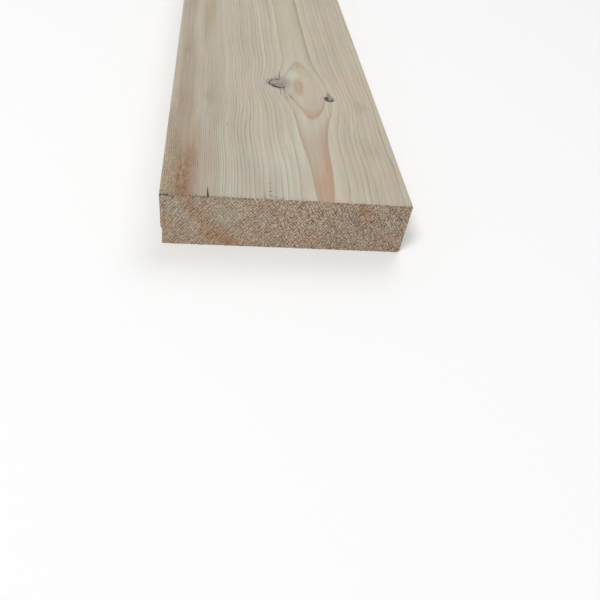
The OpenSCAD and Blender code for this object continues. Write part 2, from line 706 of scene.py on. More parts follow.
# the ends: the brown rings run on down them, redder below, among greyer and warmer patches
band = RING_F - 0.14 * (D - 5.0) + 2.0 * noise(X0 / 5.0, Z0 / 5.0, 0.0, 231)
band = END * smooth(90.5, 94.0, band) * smooth(100.5, 97.0, band) * smooth(95.0, 70.0, X0)
stain_with((0.93, 0.84, 0.74), band)
stain_with((1.03, 0.92, 0.90), band * smooth(18.0, 30.0, D))
for i, (x, d, rx, rd, tilt, tint) in enumerate(
    (
        (8.5, 11.0, 6.5, 10.0, -12.0, (0.97, 1.16, 1.24)),
        (41.0, 11.0, 16.0, 12.0, 0.0, (1.05, 1.16, 1.18)),
        (20.0, 23.0, 8.0, 6.0, 35.0, (1.10, 1.13, 1.15)),
        (4.0, 33.0, 9.0, 5.0, 0.0, (1.12, 1.05, 0.96)),
        (2.0, 21.0, 4.0, 8.0, 0.0, (1.04, 0.93, 0.84)),
        (8.0, 0.5, 6.0, 2.6, 0.0, (0.86, 0.88, 0.95)),
        (53.0, 31.0, 12.0, 6.0, 0.0, (1.08, 1.05, 0.98)),
        (61.0, 9.0, 7.0, 8.0, 0.0, (0.96, 0.93, 0.96)),
        (66.0, 21.0, 11.0, 9.0, 0.0, (1.06, 0.99, 1.00)),
        (82.0, 12.0, 6.0, 5.0, 0.0, (1.00, 0.92, 0.84)),
        (86.5, 28.0, 5.5, 5.0, 0.0, (1.06, 0.92, 0.84)),
        (69.0, 33.0, 6.0, 3.5, 0.0, (0.98, 1.08, 1.20)),
        (118.0, 5.0, 7.0, 5.0, 38.0, (0.95, 0.82, 0.69)),
        (124.0, 11.5, 4.0, 4.0, 0.0, (0.92, 0.86, 0.80)),
        (136.0, 17.0, 6.0, 6.0, 0.0, (0.97, 1.08, 1.10)),
        (133.5, 26.0, 4.0, 9.0, -28.0, (1.06, 0.97, 0.85)),
        (121.0, 24.0, 7.0, 8.0, 0.0, (0.99, 1.05, 1.11)),
        (97.0, 2.5, 8.0, 3.5, 0.0, (1.10, 1.04, 0.95)),
    )
):
    stain_with(tint, near_end * oval(x, d, rx, rd, D, 0.28, 0.9, 240 + i, tilt))
stain_with((0.90, 0.89, 0.905), near_end * smooth(82.0, 110.0, X0))
stain_with((1.12, 1.02, 0.90), far_end * smooth(-0.1, 0.7, noise(X0 / 17, Z0 / 9, 0.0, 261)))
stain_with((0.95, 1.05, 1.09), far_end * smooth(-0.1, 0.7, noise(X0 / 15, Z0 / 10, 0.0, 262)))
made = mesh.attributes.new("tint", "FLOAT_VECTOR", "POINT")
made.data.foreach_set("vector", TINT.astype(np.float32).ravel())
print("triangles", sum(len(f) - 2 for f in faces))

# ---------------------------------------------------------------- bake map
#
# One tube for the four long sides, opened along the lower left edge, and the two ends.
# The near third of the board has more room along the grain than the rest, and the upper
# face more across it.


def along_u(y):
    return np.interp(y, [0, 12, 345, L], [0.006, 0.030, 0.560, 0.994])


def around_v(far):
    g = [0, W, W + T, 2 * W + T, 2 * W + 2 * T]
    return np.interp(far, g, [0.275, 0.475, 0.535, 0.935, 0.994])


loops = np.zeros(len(mesh.loops), np.int64)
mesh.loops.foreach_get("vertex_index", loops)
sizes = np.array([len(f) for f in faces])
kinds = np.repeat(np.array(face_uv_kind), sizes)
far_l = FAR[loops]
gx, gz = X0[loops], Z0[loops]
girth = 2 * (W + T)
# a face that closes the tube ends at the full girth, not at nought
poly = np.repeat(np.arange(len(sizes)), sizes)
biggest = np.zeros(len(sizes))
np.maximum.at(biggest, poly, far_l)
far_l = np.where((kinds == 0) & (biggest[poly] > girth * 0.75) & (far_l < 1e-6), girth, far_l)
u = np.where(kinds == 0, along_u(Y0[loops]), 0.0)
v = np.where(kinds == 0, around_v(far_l), 0.0)
u = np.where(kinds == 1, 0.006 + 0.600 * gx / W, u)
v = np.where(kinds == 1, 0.010 + 0.250 * gz / T, v)
u = np.where(kinds == 2, 0.994 - 0.370 * gx / W, u)
v = np.where(kinds == 2, 0.010 + 0.150 * gz / T, v)
layer = mesh.uv_layers.new(name="OFBake")
layer.data.foreach_set("uv", np.stack([u, v], -1).astype(np.float32).ravel())

# ---------------------------------------------------------------- the wood


class Tree:
    """Writes shader nodes as expressions."""

    def __init__(self, nodes):
        self.nt = nodes

    def node(self, kind, **props):
        n = self.nt.nodes.new(kind)
        for k, val in props.items():
            setattr(n, k, val)
        return n

    def put(self, socket, value):
        if isinstance(value, bpy.types.NodeSocket):
            self.nt.links.new(value, socket)
        else:
            socket.default_value = value

    def math(self, op, a, b=0.0, c=0.0):
        n = self.node("ShaderNodeMath", operation=op)
        for s, val in zip(n.inputs, (a, b, c)):
            self.put(s, val)
        return n.outputs[0]

    def add(self, a, b):
        return self.math("ADD", a, b)

    def sub(self, a, b):
        return self.math("SUBTRACT", a, b)

    def mul(self, a, b):
        return self.math("MULTIPLY", a, b)

    def mad(self, a, b, c):
        return self.math("MULTIPLY_ADD", a, b, c)

    def step(self, x, a, b, lo=0.0, hi=1.0):
        """Smooth step of x from a (giving lo) to b (giving hi)."""
        if not isinstance(a, bpy.types.NodeSocket) and not isinstance(
            b, bpy.types.NodeSocket
        ):
            if a > b:
                a, b, lo, hi = b, a, hi, lo
        n = self.node("ShaderNodeMapRange", interpolation_type="SMOOTHSTEP")
        for name, val in (
            ("Value", x),
            ("From Min", a),
            ("From Max", b),
            ("To Min", lo),
            ("To Max", hi),
        ):
            self.put(n.inputs[name], val)
        return n.outputs["Result"]

    def vec(self, x, y, z):
        n = self.node("ShaderNodeCombineXYZ")
        for s, val in zip(n.inputs, (x, y, z)):
            self.put(s, val)
        return n.outputs[0]

    def noise(self, vector, detail=2.0, rough=0.5, scale=1.0, kind="3D"):
        n = self.node("ShaderNodeTexNoise", noise_dimensions=kind)
        n.inputs["Scale"].default_value = scale
        n.inputs["Detail"].default_value = detail
        n.inputs["Roughness"].default_value = rough
        self.put(n.inputs["Vector"], vector)
        return n.outputs["Fac"]

    def white(self, w):
        n = self.node("ShaderNodeTexWhiteNoise", noise_dimensions="1D")
        self.put(n.inputs["W"], w)
        return n.outputs["Value"]

    def bits(self, vector):
        """Two numbers of its own for each of many small cells, one or so per unit."""
        n = self.node("ShaderNodeTexVoronoi", feature="F1", voronoi_dimensions="2D")
        n.inputs["Scale"].default_value = 1.0
        self.put(n.inputs["Vector"], vector)
        parts = self.node("ShaderNodeSeparateColor")
        self.put(parts.inputs[0], n.outputs["Color"])
        return parts.outputs[0], parts.outputs[1]

    def attr(self, name):
        n = self.node("ShaderNodeAttribute", attribute_name=name)
        return n.outputs["Fac"]

    def mix(self, f, a, b, kind="MIX"):
        n = self.node("ShaderNodeMix", data_type="RGBA", blend_type=kind)
        self.put(n.inputs[0], f)
        for s, val in ((n.inputs[6], a), (n.inputs[7], b)):
            self.put(s, val if isinstance(val, bpy.types.NodeSocket) else (*val, 1.0))
        return n.outputs[2]

    def mix_f(self, f, a, b):
        """A number between a and b."""
        n = self.node("ShaderNodeMix", data_type="FLOAT")
        self.put(n.inputs[0], f)
        self.put(n.inputs[2], a)
        self.put(n.inputs[3], b)
        return n.outputs[0]

    def scale(self, colour, factor):
        """A colour times a number."""
        n = self.node("ShaderNodeMix", data_type="RGBA", clamp_factor=False)
        self.put(n.inputs[0], factor)
        n.inputs[6].default_value = (0.0, 0.0, 0.0, 1.0)
        self.put(n.inputs[7], colour)
        return n.outputs[2]


def srgb(r, g, b):
    def lin(c):
        c /= 255.0
        return c / 12.92 if c <= 0.04045 else ((c + 0.055) / 1.055) ** 2.4

    return lin(r), lin(g), lin(b)


mat = bpy.data.materials.new("planed_pine")
mat.use_nodes = True
nt = mat.node_tree
nt.nodes.clear()
g = Tree(nt)
out = g.node("ShaderNodeOutputMaterial")
bsdf = g.node("ShaderNodeBsdfPrincipled")
nt.links.new(bsdf.outputs[0], out.inputs[0])

place = g.node("ShaderNodeTexCoord").outputs["Object"]
sep = g.node("ShaderNodeSeparateXYZ")
nt.links.new(place, sep.inputs[0])
px = g.mad(sep.outputs[0], 1000.0, W / 2)
py = g.mad(sep.outputs[1], 1000.0, L / 2)
pd = g.mad(sep.outputs[2], -1000.0, T)


def at(sx, sy, sd, ox=0.0):
    """The place in the board, with each axis measured in its own unit (mm per cell)."""
    n = g.node("ShaderNodeMapping", vector_type="POINT")
    nt.links.new(place, n.inputs["Vector"])
    n.inputs["Scale"].default_value = (1000.0 / sx, 1000.0 / sy, -1000.0 / sd)
    n.inputs["Location"].default_value = (W / 2 / sx + ox, L / 2 / sy, T / sd)
    return n.outputs[0]


def centred(f, amount):
    """Noise turned to vary about nought by the amount."""
    return g.mad(f, 2.0 * amount, -amount)


def times(colour, tint, amount):
    """The colour multiplied by a tint, by the given amount."""
    return g.mix(amount, colour, g.mix(1.0, colour, tint, "MULTIPLY"))


def spot(x, y, rx, ry, axis, ragged=0.0, soft=0.55):
    """A soft oval patch at (x, y), where y is Y on the faces or D on the ends."""
    r = g.math(
        "SQRT",
        g.add(
            g.math("POWER", g.mul(g.sub(px, x), 1.0 / rx), 2.0),
            g.math("POWER", g.mul(g.sub(axis, y), 1.0 / ry), 2.0),
        ),
    )
    if ragged:
        r = g.add(r, centred(g.noise(at(rx * 0.6, ry * 0.6, rx * 0.6, x), 2.0), ragged))
    return g.step(r, 1.0, 1.0 - soft)


age, ringr = g.attr("age"), g.attr("ringr")
kx, ky, kkind = g.attr("knotx"), g.attr("knoty"), g.attr("knotk")
end, check_shade, torn_m = g.attr("sawn"), g.attr("check_shade"), g.attr("torn")
tuft_light_shade, rosy, knot_gap = g.attr("tuft_light_shade"), g.attr("rosy"), g.attr("knotr")
chip = g.attr("chip")
tint = g.node("ShaderNodeAttribute", attribute_name="tint").outputs["Color"]
upper = g.step(pd, 1.4, 0.5)  # 1 on the upper face
planed = g.sub(1.0, end)

# growth rings: pale spring wood that darkens into a thin line of summer wood and stops short
wobble = g.add(
    centred(g.noise(at(3.0, 45.0, 3.0, 3.0), 2.0), 0.34),
    centred(g.noise(at(11.0, 80.0, 11.0, 5.0), 1.0), 0.40),
)
calm = g.step(knot_gap, 2.0, 6.5, 0.20, 1.0)
aged = g.add(age, g.mul(wobble, g.mul(calm, g.step(ringr, 50.2, 52.0, 0.12, 1.0))))
ring_no = g.math("FLOOR", aged)
phase = g.math("FRACT", aged)
chance = g.white(g.mad(ring_no, 1.0, 3.37))
chance2 = g.white(g.mad(ring_no, 1.0, 41.91))
flame = g.math("COMPARE", ring_no, MAIN_RING - 1.0, 0.3)
eye = g.math("COMPARE", ring_no, MAIN_RING - 2.0, 0.3)
plain = g.sub(1.0, g.add(flame, eye))
on_right = g.step(px, 90.0, 96.0)
beyond = g.step(py, 150.0, 172.0)
# a plain ring's line comes and goes along the grain; the fine rings on the left are crisper
come_go = g.step(g.noise(at(1.7, 60.0, 1.7, 13.0), 2.0, 0.6), 0.36, 0.64, 0.50, 1.15)
crisp = g.mad(g.mul(g.step(px, 62.0, 42.0), g.step(py, 190.0, 60.0)), 0.95, 1.0)
plain_dark = g.mul(g.mad(chance2, 0.65, 0.25), g.mul(come_go, crisp))
# the flame's outline: strong on the right, faint on the left and between the knots
flame_dark = g.mix_f(
    on_right,
    g.mix_f(beyond, g.step(py, 42.0, 74.0, 0.40, 1.20), 0.58),
    g.mix_f(beyond, g.step(py, 78.0, 66.0, 1.12, 1.32), 1.60),
)
gap = g.mul(g.step(py, 97.0, 106.0), g.step(py, 150.0, 130.0))
flame_dark = g.mul(flame_dark, g.mad(gap, -0.70, 1.0))
faint = g.mul(on_right, g.mul(g.step(py, 70.0, 88.0), g.step(py, 108.0, 98.0)))
faint = g.math("MAXIMUM", g.mul(faint, 0.32), g.mul(on_right, g.mul(g.step(py, 128.0, 140.0, 0.0, 0.35), g.step(py, 196.0, 176.0))))
flame_dark = g.mul(flame_dark, g.sub(1.0, faint))
flame_wide = g.mix_f(g.mul(on_right, g.step(py, 100.0, 85.0)), g.mix_f(g.mul(on_right, beyond), 0.22, 0.30), 0.40)
# the eye's outline: a crescent below, a soft cap above, faint at the sides
eye_dark = g.mix_f(
    g.step(py, 118.0, 132.0),
    1.12,
    g.mix_f(g.step(py, 172.0, 163.0), 0.85, g.mix_f(g.step(px, 92.0, 99.0), 0.75, 0.34)),
)
summer = g.mad(
    g.mad(chance, 0.13, 0.15),
    plain,
    g.add(g.mul(flame, flame_wide), g.mul(eye, g.step(py, 112.0, 124.0, 0.18, 0.15))),
)
dark_ring = g.mad(plain_dark, plain, g.add(g.mul(flame, flame_dark), g.mul(eye, eye_dark)))
stop = g.step(phase, 0.95, 1.0, 1.0, 0.45)
after = g.mul(g.step(phase, 0.10, 0.0), 0.45)
soft_w = g.step(phase, g.sub(1.0, g.mul(summer, 1.8)), g.sub(1.0, g.mul(summer, 0.5)))
soft_w = g.mul(g.math("MAXIMUM", g.mul(soft_w, stop), after), dark_ring)
line_w = g.step(phase, g.sub(1.0, g.mul(summer, 0.80)), g.sub(1.0, g.mul(summer, 0.28)))
line_w = g.mul(g.mul(line_w, stop), dark_ring)
line_w = g.mul(line_w, g.sub(1.0, g.add(g.mul(eye, 0.55), g.mul(flame, 0.30))))
rosy_ring = g.sub(1.0, plain)

dusky = g.math("MAXIMUM", g.mul(g.step(py, 122.0, 138.0), on_right), g.mul(beyond, 0.75))
spring = g.mix(g.step(phase, 0.0, 0.72), srgb(193, 185, 167), srgb(189, 180, 162))
# each year's wood is a shade of its own
year = g.add(centred(g.white(g.mad(ring_no, 1.0, 77.3)), 0.030), 1.0)
spring = g.scale(spring, year)
spring = times(spring, (0.920, 0.862, 0.830), g.mul(flame, g.step(py, 98.0, 52.0)))
spring = times(spring, (0.970, 0.968, 0.930), g.mul(flame, g.step(py, 180.0, 235.0)))
spring = times(spring, (0.985, 0.965, 0.935), eye)
wood = g.mix(
    g.math("MINIMUM", g.mul(soft_w, 0.62), 1.0),
    spring,
    g.mix(rosy_ring, srgb(174, 160, 142), g.mix(dusky, srgb(185, 156, 133), srgb(177, 160, 142))),
)
wood = g.mix(
    g.math("MINIMUM", g.mul(line_w, 0.80), 1.0),
    wood,
    g.mix(rosy_ring, srgb(154, 134, 115), g.mix(dusky, srgb(165, 140, 119), srgb(163, 147, 130))),
)
wood = times(wood, (0.990, 0.962, 0.952), g.step(px, 96.0, 116.0))
in_flame = g.mul(g.mul(flame, rosy), g.mul(g.step(px, 78.0, 82.0), g.step(px, 112.0, 108.0)))
rosy_wood = g.mix(g.noise(at(1.4, 30.0, 1.4, 61.0), 2.0), srgb(183, 154, 128), srgb(171, 146, 126))
wood = g.mix(g.mul(in_flame, 0.82), wood, rosy_wood)
wood = g.mix(
    g.mul(g.mul(spot(89.4, 139.0, 4.9, 15.5, py, 0.20, 0.5), upper), 0.85),
    wood,
    srgb(181, 154, 130),
)
wood = g.mix(
    g.mul(g.mul(spot(92.0, 176.0, 5.5, 7.0, py, 0.4, 0.7), upper), 0.55), wood, srgb(181, 163, 138)
)

# fibre: fine streaks along the grain, and short darker dashes
streak = g.add(
    centred(g.noise(at(3.6, 160.0, 3.6, 2.0), 3.0, 0.65), 0.155),
    centred(g.noise(at(0.32, 14.0, 0.32, 9.0), 1.0, 0.5), 0.090),
)
cloud = centred(g.noise(at(17.0, 75.0, 17.0, 17.0), 2.0), 0.090)
dash = g.step(g.noise(at(0.42, 5.5, 0.42, 31.0), 0.0), 0.68, 0.82, 0.0, 0.10)
tone = g.sub(g.add(g.add(1.0, streak), cloud), dash)
# the planer's knife marks: faint ripples across the grain, clearest where the wood is plain
ripple_y = g.math(
    "SINE", g.mul(g.add(py, centred(g.noise(at(7.0, 30.0, 7.0)), 3.0)), 2 * math.pi / 2.4)
)
ripple_amt = g.mad(
    flame,
    g.step(py, 95.0, 75.0, 0.004, 0.024),
    g.step(g.noise(at(22.0, 40.0, 22.0, 29.0), 0.0), 0.48, 0.66, 0.0, 0.012),
)
tone = g.mad(ripple_y, ripple_amt, tone)
wood = g.scale(wood, tone)
# a faint drift between a greyer and a rosier cast
cast = g.noise(at(10.0, 24.0, 10.0, 51.0), 1.0)
wood = g.mix(
    g.step(cast, 0.35, 0.65),
    g.mix(1.0, wood, (0.980, 1.008, 1.014), "MULTIPLY"),
    g.mix(1.0, wood, (1.018, 0.988, 0.972), "MULTIPLY"),
)

# browner rings towards the left edge, paler again at the edge itself
drift = centred(g.noise(at(9.0, 60.0, 9.0, 71.0), 2.0), 2.6)
rr = g.add(ringr, drift)
brown = g.mul(g.step(rr, 90.0, 95.0), g.step(rr, 107.0, 102.0))
brown = g.mul(brown, g.step(py, 250.0, 180.0, 0.70, 1.0))
paler = g.mul(g.step(px, 6.0, 2.0), g.mul(g.step(py, 82.0, 112.0), upper))
brown = g.mul(brown, g.mad(paler, -0.70, 1.0))
tan = g.mul(g.step(rr, 73.5, 80.0), g.step(rr, 90.0, 84.0))
wood = times(wood, (0.950, 0.935, 0.925), g.mul(tan, 0.85))
wood = times(wood, (0.815, 0.735, 0.715), g.mul(brown, 0.95))
wood = times(wood, (0.975, 0.975, 0.985), g.step(px, 62.0, 48.0))

# the large soft patches
wood = g.mix(1.0, wood, tint, "MULTIPLY")

# the left corner of the upper face by the end: stained orange-brown, torn and speckled
mottle = g.noise(at(1.3, 3.6, 1.3, 83.0), 3.0, 0.7)
shift = centred(g.noise(at(4.0, 9.0, 4.0, 87.0), 3.0, 0.6), 2.6)
sx = g.add(px, shift)
wavy = g.noise(
    g.vec(
        g.mul(g.add(px, g.mul(shift, 0.8)), 1 / 1.05), g.mul(py, 1 / 5.0), g.mul(pd, 1 / 1.05)
    ),
    1.0,
)
stain = g.mul(
    g.mul(g.step(sx, 5.8, 9.6), g.step(sx, 17.6, 12.6)),
    g.step(g.mad(mottle, 20.0, py), 74.0, 46.0),
)
stain = g.mul(g.mul(stain, upper), g.add(g.mad(mottle, 0.65, 0.22), g.step(wavy, 0.30, 0.70, 0.0, 0.70)))
stain = g.mul(stain, g.step(py, 46.0, 14.0, 0.74, 1.20))
wood = times(wood, (0.695, 0.510, 0.325), g.math("MINIMUM", g.mul(stain, 0.66), 1.0))
ruddy = g.mul(
    g.mul(g.step(sx, 11.5, 15.0), g.step(sx, 21.0, 17.5)), g.mul(g.step(py, 60.0, 36.0), upper)
)
wood = times(wood, (0.84, 0.76, 0.72), g.mul(ruddy, g.mad(wavy, 0.7, 0.45)))
trail = g.mul(
    g.mul(g.step(sx, 11.0, 14.5), g.step(sx, 24.0, 18.0)),
    g.mul(g.step(py, 108.0, 70.0), upper),
)
wood = times(wood, (0.935, 0.868, 0.835), trail)
lick = g.step(g.math("ABSOLUTE", g.sub(g.mad(shift, 0.4, px), 17.0)), 2.2, 0.5)
lick = g.mul(g.mul(lick, g.step(py, 28.0, 40.0)), g.mul(g.step(py, 78.0, 62.0), upper))
wood = times(wood, (0.87, 0.79, 0.72), g.mul(lick, g.mad(wavy, 0.6, 0.15)))
flake = g.noise(at(0.6, 1.3, 0.6, 95.0), 2.0, 0.75)
strip = g.mul(g.step(sx, 12.5, 5.0), g.mul(g.step(py, 84.0, 34.0), upper))
wood = times(wood, (0.865, 0.81, 0.71), strip)
grime = g.mul(g.step(py, 15.0, 3.0), g.mul(g.step(px, 42.0, 24.0), upper))
wood = times(wood, (0.950, 0.930, 0.900), grime)
speck = g.mul(
    g.math("MAXIMUM", strip, g.mul(stain, 0.8)), centred(g.step(flake, 0.30, 0.70), 0.36)
)
wood = g.scale(wood, g.add(1.0, speck))
curl = g.math(
    "SQRT",
    g.add(
        g.math("POWER", g.sub(px, 1.0), 2.0),
        g.math("POWER", g.mul(g.sub(py, 72.5), 0.55), 2.0),
    ),
)
curl = g.mad(mottle, 2.6, curl)
curl_w = g.mul(g.math("SINE", g.mul(curl, 2 * math.pi / 1.7)), g.mul(g.step(curl, 11.5, 8.0), g.step(px, 2.6, 4.8)))
wood = g.scale(wood, g.add(1.0, g.mul(g.mul(curl_w, upper), 0.19)))

# knots: a sound one has a lilac-grey core with a torn black edge below and on its left, partly painted shade in its
# open rim; a small one is a black ring with a paler heart
warp = g.noise(at(3.0, 3.0, 3.0, 107.0), 1.0)
warp2 = g.noise(at(3.0, 3.0, 3.0, 113.0), 1.0)
kxw = g.add(kx, centred(warp, 0.24))
kyw = g.add(ky, centred(warp2, 0.24))
taper = g.mad(g.math("MAXIMUM", g.mul(kxw, -1.0), 0.0), 0.38, 1.0)
taper = g.mix_f(kkind, taper, 1.0)
kyt = g.mul(kyw, taper)
krho = g.math("SQRT", g.add(g.mul(kxw, kxw), g.mul(kyt, kyt)))
krho = g.add(krho, g.step(knot_gap, 2.8, 3.2, 0.0, 9.0))
safe = g.math("MAXIMUM", krho, 0.12)
low = g.math("DIVIDE", g.add(g.mul(kxw, -0.30), g.mul(kyt, -0.95)), safe)
leftish = g.math("DIVIDE", g.mul(kxw, -1.0), safe)
rightish = g.step(kxw, -0.1, 0.9)
inside = g.step(krho, g.mad(rightish, 0.12, 1.04), g.mad(rightish, -0.42, 0.92))
inner = g.mad(g.math("ABSOLUTE", low), -0.18, 0.93)
rim_w = g.mul(
    g.step(krho, g.sub(inner, 0.10), g.add(inner, 0.03)), g.step(krho, 1.08, 0.98)
)
rim_how = g.math(
    "MAXIMUM",
    g.step(low, 0.0, 0.55),
    g.math(
        "MAXIMUM",
        g.step(leftish, 0.25, 0.80),
        g.math("MAXIMUM", g.step(warp2, 0.52, 0.66, 0.0, 0.6), g.mul(g.step(low, -0.50, -0.92, 0.0, 0.60), g.step(kxw, 0.30, -0.30))),
    ),
)
rim_how = g.mul(rim_how, g.step(kxw, 1.0, 0.45))
rim_sound = g.mul(g.mul(rim_w, rim_how), g.step(warp, 0.30, 0.46, 0.62, 1.0))
core_noise = g.noise(at(2.8, 1.3, 1.6, 119.0), 1.0, 0.5)
core_sound = g.mix(g.step(core_noise, 0.28, 0.72), srgb(178, 168, 163), srgb(130, 116, 108))
knot_rings = g.math("SINE", g.mad(krho, 2 * math.pi * 4.5, g.mul(warp2, 7.0)))
core_sound = g.scale(core_sound, g.mad(knot_rings, 0.07, 1.0))
heart_b = g.mul(g.step(low, -0.2, 0.6), g.step(krho, 0.95, 0.45))
core_sound = g.mix(
    g.mul(heart_b, g.step(core_noise, 0.36, 0.58, 0.0, 0.8)), core_sound, srgb(120, 95, 77)
)
upward = g.math("DIVIDE", g.add(g.mul(kxw, 0.72), g.mul(kyw, 0.69)), safe)
ring_black = g.mul(g.step(krho, 0.24, 0.60), g.step(krho, 1.12, 0.92))
ring_black = g.mul(ring_black, g.step(upward, 0.35, 0.95, 1.0, 0.25))
blob = g.step(
    g.math(
        "SQRT",
        g.add(
            g.math("POWER", g.add(kxw, 0.45), 2.0),
            g.math("POWER", g.sub(kyw, 0.15), 2.0),
        ),
    ),
    0.55,
    0.30,
)
blob = g.mul(blob, g.step(knot_gap, 2.0, 1.5))
ring_black = g.math("MAXIMUM", ring_black, blob)
core_sound = times(core_sound, (0.88, 0.885, 0.885), rightish)
core = g.mix(kkind, core_sound, srgb(152, 133, 110))
rim_black_and_shade = g.mix_f(kkind, rim_sound, ring_black)
# the wood round a knot is smoky close in, with a thin line round its left, and paler further out
halo = g.mul(g.step(krho, 2.7, 1.4), g.sub(1.0, inside))
wood = times(wood, (1.000, 1.030, 1.085), g.mul(halo, 0.9))
smoke = g.mul(g.step(krho, 1.75, 1.0), g.sub(1.0, inside))
smoke = g.mul(smoke, g.mad(g.math("ABSOLUTE", low), 0.28, 0.42))
wood = g.mix(smoke, wood, srgb(154, 142, 136))
bark = g.mul(g.step(krho, 1.14, 1.22), g.step(krho, 1.34, 1.26))
bark = g.mul(bark, g.mul(g.step(leftish, 0.2, 0.7), g.sub(1.0, kkind)))
wood = g.mix(g.mul(bark, 0.52), wood, srgb(116, 104, 99))
wood = g.mix(g.mul(inside, g.mix_f(kkind, 0.92, 0.8)), wood, core)
# the knot's own dark edge, with painted shade where a sound knot's rim stands open
wood = g.mix(g.mul(rim_black_and_shade, 0.92), wood, g.mix(kkind, srgb(58, 49, 43), srgb(62, 51, 42)))
wood = g.mix(
    g.mul(g.mul(spot(110.6, 130.2, 2.8, 5.2, py, 0.3, 0.8), upper), 0.72), wood, srgb(143, 121, 99)
)


# short hair cracks with painted shade in them, and dark dashes, beside the knots, from point to point on the upper
# face
def hair(x0, y0, x1, y1, half, strength):
    slope = (x1 - x0) / (y1 - y0)
    lo, hi = min(y0, y1), max(y0, y1)
    off = g.math("ABSOLUTE", g.sub(px, g.mad(py, slope, x0 - slope * y0)))
    off = g.add(off, centred(g.noise(at(1.5, 3.0, 9.0, 3.0 * x0), 1.0), half * 0.9))
    line = g.step(off, half, half * 0.2)
    ends = g.mul(
        g.step(py, lo - 0.6, lo + (hi - lo) * 0.25),
        g.step(py, hi + 0.6, hi - (hi - lo) * 0.35),
    )
    return g.mul(g.mul(line, ends), g.mul(upper, strength))


hairs = hair(76.0, 147.0, 76.8, 162.5, 0.60, 0.66)
for spec in (
    (73.2, 149.0, 73.3, 163.0, 0.5, 0.40),
    (75.8, 137.0, 75.3, 123.0, 0.55, 0.50),
    (77.6, 137.0, 78.7, 125.0, 0.60, 0.62),
    (78.6, 126.0, 80.6, 118.0, 0.55, 0.50),
    (81.9, 126.4, 83.8, 119.8, 0.65, 0.66),
    (111.2, 127.0, 109.4, 138.0, 1.0, 0.16),
    (104.6, 124.4, 107.2, 125.6, 0.8, 0.45),
    (109.0, 120.0, 107.8, 95.0, 0.45, 0.34),
    (36.2, 77.0, 38.4, 83.0, 0.45, 0.30),
):
    hairs = g.math("MAXIMUM", hairs, hair(*spec))
# painted shade in the hair cracks, and the dark dashes
wood = g.mix(hairs, wood, srgb(88, 80, 76))

# a row of small grey specks that runs in from the end, and grey specks at the edge, partly painted shade of the
# torn fibres there
row = g.math("FRACT", g.mul(g.add(py, g.mad(g.noise(at(9, 3.9, 9, 127.0)), 2.0, 0.2)), 1.0 / 3.9))
fleck = g.math(
    "SQRT",
    g.add(
        g.math("POWER", g.sub(px, g.mad(py, 0.03, 61.3)), 2.0),
        g.math("POWER", g.mul(g.sub(row, 0.5), 3.9), 2.0),
    ),
)
fleck = g.mul(
    g.mul(g.step(fleck, 1.40, 0.30), g.step(py, 27.0, 4.0, 0.0, 0.75)), upper
)
# grey specks along the front edge: partly painted shade of the torn fibres there
edge_specks_and_shade = g.noise(at(1.5, 1.2, 9.0, 131.0), 2.0, 0.6)
edge_specks_and_shade = g.mul(
    g.mul(g.step(edge_specks_and_shade, 0.46, 0.64), g.step(py, 5.6, 0.8)),
    g.mul(upper, g.mad(spot(70.0, 0.0, 22.0, 30.0, py), 0.30, 0.30)),
)
wood = g.mix(g.math("MAXIMUM", fleck, edge_specks_and_shade), wood, srgb(120, 118, 111))

# --- the sawn ends: broken fibre with painted light on its tufts and painted shade in the gaps between, hatched by the saw ---
ca, sa = math.cos(math.radians(54)), math.sin(math.radians(54))
run = g.sub(g.mul(px, ca), g.mul(pd, sa))
cross = g.add(g.mul(px, sa), g.mul(pd, ca))
hatch = g.noise(g.vec(g.mul(run, 1 / 6.0), g.mul(cross, 1 / 0.62), 0.0), 0.0, 0.6)
grit = g.noise(g.vec(g.mul(run, 1 / 0.55), 0.0, g.mul(cross, 1 / 0.42)), 0.0, 0.5)
shred, shred_hue = g.bits(g.vec(g.mul(run, 1 / 0.80), g.mul(cross, 1 / 0.27), 0.0))
crumb, crumb_hue = g.bits(g.vec(g.mul(px, 1 / 0.55), g.mul(pd, 1 / 0.64), 0.0))
leftmost = g.step(px, 85.0, 30.0)
# the saw's teeth left close, even lines; where they cross the rings the end looks woven
bent = centred(g.noise(g.vec(g.mul(run, 1 / 9.0), g.mul(cross, 1 / 3.0), 3.0), 1.0), 0.9)
teeth = g.math("SINE", g.mul(g.add(cross, bent), 2 * math.pi / 1.5))
back = g.sub(g.mul(px, sa), g.mul(pd, ca))
bent2 = centred(g.noise(g.vec(g.mul(run, 1 / 4.0), g.mul(back, 1 / 3.0), 8.0), 1.0), 0.9)
weft = g.math("SINE", g.mul(g.add(back, bent2), 2 * math.pi / 1.5))
# the end's lightness: the fibre's own speckle and the saw's lines, with painted light and shade from the rough:
# high tufts lighter, hollows darker
lit = g.add(
    g.mad(g.sub(shred, 0.5), g.mix_f(leftmost, 0.27, 0.27), 0.345),
    g.add(
        g.mul(g.sub(crumb, 0.5), g.mix_f(g.step(py, 900.0, 800.0), 0.38, g.mix_f(leftmost, 0.57, 0.33))),
        g.add(
            g.mul(tuft_light_shade, 0.05),
            g.add(
                g.mul(g.sub(hatch, 0.5), g.mix_f(leftmost, 0.08, 0.30)),
                g.mul(
                    g.add(
                        g.mul(teeth, g.mix_f(leftmost, 0.09, 0.08)),
                        g.mul(weft, g.mix_f(leftmost, 0.09, 0.045)),
                    ),
                    g.step(py, 900.0, 800.0, 0.45, 1.0),
                ),
            ),
        ),
    ),
)
lit = g.math("MINIMUM", g.math("MAXIMUM", lit, 0.0), 1.0)
end_wood = g.mix(lit, srgb(97, 70, 50), srgb(243, 225, 201))
end_wood = times(end_wood, (0.84, 0.78, 0.74), g.math("MINIMUM", g.mul(soft_w, 0.45), 1.0))
end_wood = g.mix(
    crumb_hue,
    g.mix(1.0, end_wood, (0.93, 1.01, 1.065), "MULTIPLY"),
    g.mix(1.0, end_wood, (1.08, 0.98, 0.895), "MULTIPLY"),
)
